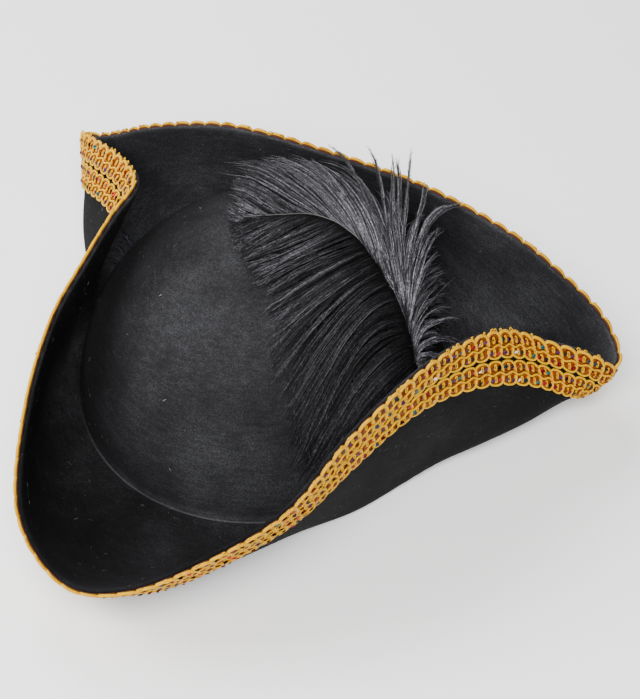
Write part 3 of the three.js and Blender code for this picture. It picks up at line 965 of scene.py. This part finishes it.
def make_braids(random):
    materials = [
        thread_material("gimp_yellow", light=(0.76, 0.41, 0.002), dark=(0.43, 0.19, 0.0005)),
        # The amber thread is the yellow one painted darker, as painted shade on the threads that lie lower.
        thread_material("gimp_amber_shade", light=(0.36, 0.075, 0.001), dark=(0.05, 0.007, 0.0003)),
        plain_material("gimp_ground", (0.08, 0.015, 0.0005), 0.8, 1500, 0.6),
    ]
    foil = sequin_material()
    for row, name in enumerate(BRAID_ROWS):
        make_braid(row, name, materials, random)
        make_sequins(row, name, foil, random)


# The plume

QUILL = np.array(QUILL_ROUTE, float)
QUILL_POINTS = over_crown(heading(QUILL[:, 0], QUILL[:, 1]), QUILL[:, 2])

# How barbs and quill taper and how far the quill lies over its route: shares of the length, values there
BARB_TAPER = [(0, 0.5, 0.85, 1), (1, 1, 0.8, 0.25)]
QUILL_TAPER = [(0, 0.4, 0.62, 1), (1.4, 0.8, 0.34, 0.14)]
QUILL_LIFT = [(0, 0.55, 0.65, 1), (-1.5, -1.0, 0.5, 0.8)]

# A vane's barbs are spaced along its edge, where a whole quill's length counts as ROOT_CROWDING more, and
# cling together in locks. CRIMP is their frizz.
VANE_BARBS = 2100
BARB_STEPS = 12
FINE_LOCKS = 110
ROOT_CROWDING = 70
CRIMP = 0.26

# Barbs and wisps, each with a radius between the two, the barbs below them, painted dark as shade, and the
# numbers
# # of fine hairs on them, whose radius changes from root to tip
BARB_RADII = (0.2, 0.4)
WISP_RADII = (0.42, 0.58)
WISP_STRANDS = 6
UNDER_BARB_EVERY = 4
UNDER_BARB_RADIUS = 1.2
WISP_BARBULES, FRONT_FUZZ, BACK_FUZZ = 1500, 3600, 2400
BARBULE_RADII = (0.13, 0.05)

PLUME_LOOKS = [
    # name, length of the root's painted shade, shades from the darkest to the lightest, shade ramp
    # Lit and shaded copies of one black feather: the back vane painted lighter, the front vane darker and the
    # under barbs darker still, as painted light and shade.
    ("barb_front", 26, [(0.005, 0.005, 0.0055), (0.024, 0.024, 0.0265), (0.120, 0.117, 0.131)],
     ("X", -0.02, 0.07, 1.3, 0.5)),
    ("barb_back", 6, [(0.012, 0.012, 0.013), (0.059, 0.058, 0.065), (0.23, 0.225, 0.25)],
     ("X", 0.0, 0.055, 0.85, 1.35)),
    ("under_front", 40, [(0.001, 0.001, 0.001), (0.006, 0.006, 0.006), (0.025, 0.025, 0.027)],
     ("X", -0.02, 0.07, 1.4, 0.6)),
    ("under_back", 20, [(0.005, 0.005, 0.005), (0.028, 0.028, 0.030), (0.12, 0.12, 0.127)],
     ("X", 0.0, 0.055, 0.9, 1.5)),
]


def height_over_crown(points):
    return np.linalg.norm(points, axis=-1) - np.linalg.norm(over_crown(points, 0 * points[..., 0]), axis=-1)


def table_ways(rows, table_places, places, column):
    """Directions and heights at the places, from the column on of rows that lie at the table's places."""
    directions = heading(rows[:, column], rows[:, column + 1])
    found = np.stack([np.interp(places, table_places, directions[:, axis]) for axis in range(3)], -1)
    return unit(found), np.interp(places, table_places, rows[:, column + 2])


def barb_paths(shares, middles, tips, middle_heights, tip_heights, reach):
    """Barbs from the quill through their middles to their tips, or as far on that way as reach says."""
    roots = open_spline(QUILL_POINTS, shares)
    w = np.linspace(0, 1, BARB_STEPS)[None] * reach[:, None]

    def through(start, middle, end, w):
        bend = 2 * middle - (start + end) / 2
        return (1 - w) ** 2 * start + 2 * (1 - w) * w * bend + w ** 2 * end

    directions = unit(through(unit(roots)[:, None], middles[:, None], tips[:, None], w[..., None]))
    heights = through(height_over_crown(roots)[:, None], middle_heights[:, None], tip_heights[:, None], w)
    return over_crown(directions, np.maximum(heights, 0.8))


def crimp(paths, random):
    """A fine frizz on each barb, growing towards its tip."""
    grow = np.linspace(0.2, 1, paths.shape[1])[None, :, None]
    return paths + CRIMP * grow * random.normal(0, 1, paths.shape)


def vane_paths(table, random, coarse_locks, lift_spread):
    """One side of the feather, its tips spread evenly along the vane's edge. Neighbouring barbs cling
    together in fine locks, and these in coarse ones."""
    count = VANE_BARBS
    rows = np.array(table, float)
    edge = heading(rows[:, 4], rows[:, 5]) * (CROWN_HEIGHT + rows[:, 6:7])
    table_places = along(edge) + ROOT_CROWDING * (rows[:, 0] - rows[0, 0])
    table_places /= table_places[-1]
    places = np.sort(random.uniform(0, 1, count))
    fine = np.floor(places * FINE_LOCKS).astype(int)
    coarse = np.floor(places * coarse_locks).astype(int)
    pulled = places + ((fine + 0.5) / FINE_LOCKS - places) * random.uniform(0.3, 0.95, count)
    tip_places = pulled + ((coarse + 0.5) / coarse_locks - pulled) * random.uniform(0.1, 0.35, count)
    middles, middle_heights = table_ways(rows, table_places, pulled, 1)
    tips, tip_heights = table_ways(rows, table_places, tip_places, 4)
    fine_shift = random.normal(0, 1, (FINE_LOCKS, 3))[fine]
    coarse_shift = random.normal(0, 1, (coarse_locks, 3))[coarse]
    stray = np.where(random.uniform(0, 1, (count, 1)) < 0.04, 0.03, 0.008)
    middles = unit(middles + 0.007 * fine_shift + 0.4 * stray * random.normal(0, 1, (count, 3)))
    tips = unit(tips + 0.012 * fine_shift + 0.012 * coarse_shift + stray * random.normal(0, 1, (count, 3)))
    lift = random.uniform(1 - lift_spread, 1.1, FINE_LOCKS)[fine] * random.uniform(0.8, 1.05, count)
    reach = (random.uniform(0.98, 1.08, coarse_locks)[coarse]
             * random.uniform(0.95, 1.05, FINE_LOCKS)[fine] * random.uniform(0.84, 1.03, count))
    shares = np.interp(places, table_places, rows[:, 0])
    return crimp(barb_paths(shares, middles, tips, middle_heights * lift, tip_heights * lift, reach), random)


def add_barbs(piece, paths, random, radii):
    count = len(paths)
    taper = np.interp(np.linspace(0, 1, BARB_STEPS), *BARB_TAPER)[None]
    outward = unit(paths + random.normal(0, 14, (count, 1, 3)))
    radius = random.uniform(*radii, (count, 1)) * taper
    add_strands(piece, paths, outward, radius, 3, flatness=0.6)


def add_under_barbs(piece, paths, sink):
    """Broad barbs of the vane's lower layers, which close it from below, painted dark as painted shade. Sink
    is how low they lie, as a share of the height of the barbs above them."""
    chosen = paths[::UNDER_BARB_EVERY, :-1]
    low = over_crown(unit(chosen), np.maximum(sink * height_over_crown(chosen), 0.5))
    taper = np.linspace(1, 0.5, BARB_STEPS - 1)[None]
    add_strands(piece, low, unit(low), UNDER_BARB_RADIUS * taper, 3, slot=1, flatness=0.3)


def add_barbules(piece, paths, count, random, first_step, length):
    """Short fine hairs that stand off the barbs' outer parts."""
    barb = random.integers(0, len(paths), count)
    step = random.integers(first_step, BARB_STEPS - 1, count)
    w = random.uniform(0, 1, (count, 1))
    root = paths[barb, step] * (1 - w) + paths[barb, step + 1] * w
    forward = unit(paths[barb, step + 1] - paths[barb, step])
    aside = unit(np.cross(forward, random.normal(0, 1, (count, 3))))
    reach = length * random.uniform(0.5, 1.2, (count, 1))
    tip = root + reach * (0.95 * forward + 0.55 * aside)
    add_strands(piece, np.stack([root, tip], 1), unit(root)[:, None], BARBULE_RADII, 3)


def make_vane(name, table, materials, random, coarse_locks, lift_spread, sink, replaces=()):
    """One side of the feather as a piece of its own. Returns its barbs, for the fuzz that stands on them."""
    paths = vane_paths(table, random, coarse_locks, lift_spread)
    vane = Piece(name)
    add_barbs(vane, paths, random, BARB_RADII)
    add_under_barbs(vane, paths, sink)
    vane.build(materials, replaces)
    return paths


def make_wisps(material, random):
    """Loose barbs that stand off the feather, a few strands side by side in each wisp."""
    rows = np.repeat(np.array(WISPS, float), WISP_STRANDS, 0)
    count = len(rows)
    shares = rows[:, 0] + random.normal(0, 0.01, count)
    middles = unit(heading(rows[:, 1], rows[:, 2]) + random.normal(0, 0.006, (count, 3)))
    tips = unit(heading(rows[:, 4], rows[:, 5]) + random.normal(0, 0.007, (count, 3)))
    reach = random.uniform(0.9, 1.06, count)
    paths = crimp(barb_paths(shares, middles, tips, rows[:, 3], rows[:, 6], reach), random)
    wisps = Piece("plume_wisps")
    add_barbs(wisps, paths, random, WISP_RADII)
    add_barbules(wisps, paths, WISP_BARBULES, random, first_step=4, length=2.6)
    wisps.build([material])


def make_quill():
    shares = np.linspace(0, 1, 60)
    path = open_spline(QUILL_POINTS, shares)
    path = path + unit(path) * np.interp(shares, *QUILL_LIFT)[:, None]
    quill = Piece("quill")
    add_strands(quill, path[None], unit(path)[None], np.interp(shares, *QUILL_TAPER)[None], 8)
    quill.build([plain_material("quill_horn", (0.08, 0.077, 0.075), 0.4, 900, 0.2)])


def make_plume(random):
    front_barb, back_barb, front_under, back_under = (
        barb_material("plume_" + name, *looks) for name, *looks in PLUME_LOOKS)
    front_paths = make_vane("plume_front_vane", FRONT_VANE, [front_barb, front_under], random,
                            coarse_locks=26, lift_spread=0.6, sink=0.55, replaces=["plume"])
    back_paths = make_vane("plume_back_vane", BACK_VANE, [back_barb, back_under], random,
                           coarse_locks=30, lift_spread=0.55, sink=0.8)
    make_wisps(back_barb, random)
    fuzz = Piece("plume_fuzz")
    add_barbules(fuzz, front_paths, FRONT_FUZZ, random, first_step=5, length=3.2)
    add_barbules(fuzz, back_paths, BACK_FUZZ, random, first_step=5, length=3.2)
    fuzz.build([back_barb])
    make_quill()


# Floor, lights and camera

def floor_material():
    material, shader = new_material("pale_floor")
    grain = noise(material, scale=300, detail=3)
    color = ramp(material, grain, [(0.3, (0.94, 0.94, 0.94)), (0.7, (0.96, 0.96, 0.96))])
    connect(material, shader, {
        "Base Color": color, "Roughness": 0.9, "Emission Color": (1, 1, 1, 1),
        "Emission Strength": FLOOR_GLOW})
    return material


def make_floor():
    half = FLOOR_SIZE / 2
    corners = [(-half, -half, 0), (half, -half, 0), (half, half, 0), (-half, half, 0)]
    mesh = bpy.data.meshes.new("floor")
    mesh.from_pydata(corners, [], [(0, 1, 2, 3)])
    floor = new_object("floor", mesh)
    mesh.materials.append(floor_material())


def aim(thing, position, away):
    """Puts a camera or a light at a position, with its back to the direction away."""
    thing.location = position
    thing.rotation_mode = "QUATERNION"
    thing.rotation_quaternion = (-away).to_track_quat("-Z", "Y")


def make_camera():
    a, e = math.radians(VIEW_ROUND), math.radians(VIEW_UP)
    right = Vector((math.cos(a), math.sin(a), 0))
    back = Vector((math.sin(a) * math.cos(e), -math.cos(a) * math.cos(e), math.sin(e)))
    upward = back.cross(right)
    target = Vector(MIDDLE) + right * VIEW_SIDEWAYS + upward * VIEW_UPWARDS + Vector((0, 0, VIEW_HEIGHT))
    data = bpy.data.cameras.new("camera")
    data.sensor_width = SENSOR
    data.lens = FOCAL_PIXELS / IMAGE_HEIGHT * SENSOR
    data.clip_end = 50
    camera = new_object("camera", data)
    aim(camera, (target + back * VIEW_DISTANCE) * MM, back)
    bpy.context.scene.camera = camera


def add_light(name, degrees_round, degrees_up, power):
    data = bpy.data.lights.new(name, "AREA")
    data.energy, data.size = power, LIGHT_SIZE
    away = Vector(heading(np.array(degrees_round - 90.0), np.array(degrees_up)))
    aim(new_object(name, data), away * LIGHT_DISTANCE, away)


def make_studio():
    world = bpy.data.worlds.new("studio")
    world.use_nodes = True
    background = world.node_tree.nodes["Background"]
    background.inputs["Color"].default_value = (1, 1, 1, 1)
    background.inputs["Strength"].default_value = WORLD_GLOW
    bpy.context.scene.world = world
    for light in LIGHTS:
        add_light(*light)


random_numbers = np.random.default_rng(RANDOM_SEED)
make_felt(random_numbers)
make_tacks(random_numbers)
make_braids(random_numbers)
make_plume(random_numbers)
make_floor()
make_studio()
make_camera()
